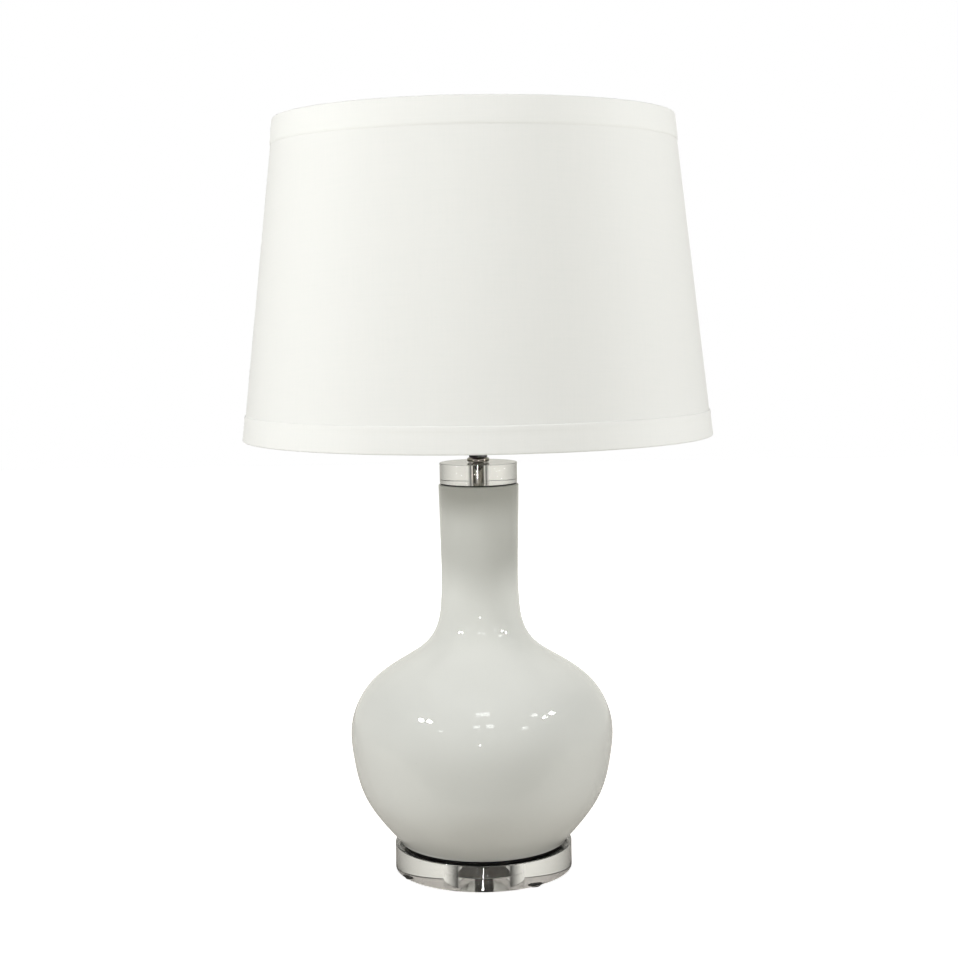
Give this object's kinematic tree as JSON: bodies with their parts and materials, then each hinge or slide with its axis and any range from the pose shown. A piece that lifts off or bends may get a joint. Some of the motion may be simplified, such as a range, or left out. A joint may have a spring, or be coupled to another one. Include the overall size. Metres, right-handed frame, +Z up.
{
  "type": "table lamp",
  "caption": "Table lamp with a glossy white ceramic bottle body on a clear acrylic base, a clear neck cap and a tapered white fabric drum shade.",
  "frame": {"origin": "on the table, under the middle of the base, at the underside of the foot pads", "axes": "+Z up along the lamp pipe; +X towards the switch knob; +Y towards the back, in the plane of the harp"},
  "size_m": [0.4064, 0.4064, 0.6554],
  "materials": {
    "white_glaze": "gloss",
    "clear_acrylic": "polished clear",
    "black_rubber": "matt",
    "black_plastic": "gloss",
    "polished_nickel": "polished",
    "plated_steel": "satin",
    "brass": "satin",
    "aluminium": "satin",
    "fibre_card": "matt",
    "opal_glass": "satin",
    "white_linen": "matt",
    "white_styrene": "satin"
  },
  "bodies": {
    "lamp": {"foot_pad_1": "black_rubber", "foot_pad_2": "black_rubber", "foot_pad_3": "black_rubber", "foot_pad_4": "black_rubber", "base_disc": "clear_acrylic", "foot_seat": "black_rubber", "base_washer": "plated_steel", "lock_washer": "plated_steel", "base_nut": "plated_steel", "lamp_pipe": "polished_nickel", "ceramic_body": "white_glaze", "lip_gasket": "black_rubber", "neck_cap": "clear_acrylic", "neck_collar": "polished_nickel", "neck_spacer": "black_plastic", "harp_saddle": "polished_nickel", "socket_cap": "polished_nickel", "socket_set_screw": "plated_steel", "socket_shell": "polished_nickel", "socket_liner": "fibre_card", "socket_core": "black_plastic", "terminal_screw_front": "brass", "terminal_screw_back": "brass", "screw_shell": "brass", "centre_contact": "brass"},
    "switch": {"switch_stem": "brass", "switch_knob": "black_plastic"},
    "bulb": {"bulb_base": "aluminium", "bulb_globe": "opal_glass"},
    "harp": {"harp_wire": "polished_nickel"},
    "sleeve_front": {"harp_sleeve_front": "polished_nickel"},
    "sleeve_back": {"harp_sleeve_back": "polished_nickel"},
    "swivel": {"harp_stud": "polished_nickel"},
    "shade": {"shade_fabric": "white_linen", "shade_styrene": "white_styrene", "shade_trim_bottom": "white_linen", "shade_trim_top": "white_linen", "shade_ring_bottom": "plated_steel", "shade_ring_top": "plated_steel", "shade_spider": "plated_steel"},
    "finial": {"finial": "polished_nickel"}
  },
  "joints": [
    {"name": "switch_turn", "type": "hinge", "parent": "lamp", "child": "switch", "pos_m": [0, 0, 0.4024], "axis": [1, 0, 0], "continuous": true},
    {"name": "bulb_lift", "type": "slide", "parent": "lamp", "child": "bulb", "axis": [0, 0, 1], "range_m": [0, 0.03]},
    {"name": "harp_lift", "type": "slide", "parent": "lamp", "child": "harp", "axis": [0, 0, 1], "range_m": [0, 0.02]},
    {"name": "sleeve_front_lift", "type": "slide", "parent": "harp", "child": "sleeve_front", "axis": [0, 0, 1], "range_m": [0, 0.014]},
    {"name": "sleeve_back_lift", "type": "slide", "parent": "harp", "child": "sleeve_back", "axis": [0, 0, 1], "range_m": [0, 0.014]},
    {"name": "shade_swivel", "type": "hinge", "parent": "harp", "child": "swivel", "pos_m": [0, 0, 0.6356], "axis": [0, 0, 1], "continuous": true},
    {"name": "shade_lift", "type": "slide", "parent": "swivel", "child": "shade", "axis": [0, 0, 1], "range_m": [0, 0.29]},
    {"name": "finial_lift", "type": "slide", "parent": "swivel", "child": "finial", "axis": [0, 0, 1], "range_m": [0, 0.35]}
  ],
  "couplings": [
    {"joint": "finial_lift", "follows": "shade_lift", "ratio": 1.2}
  ]
}
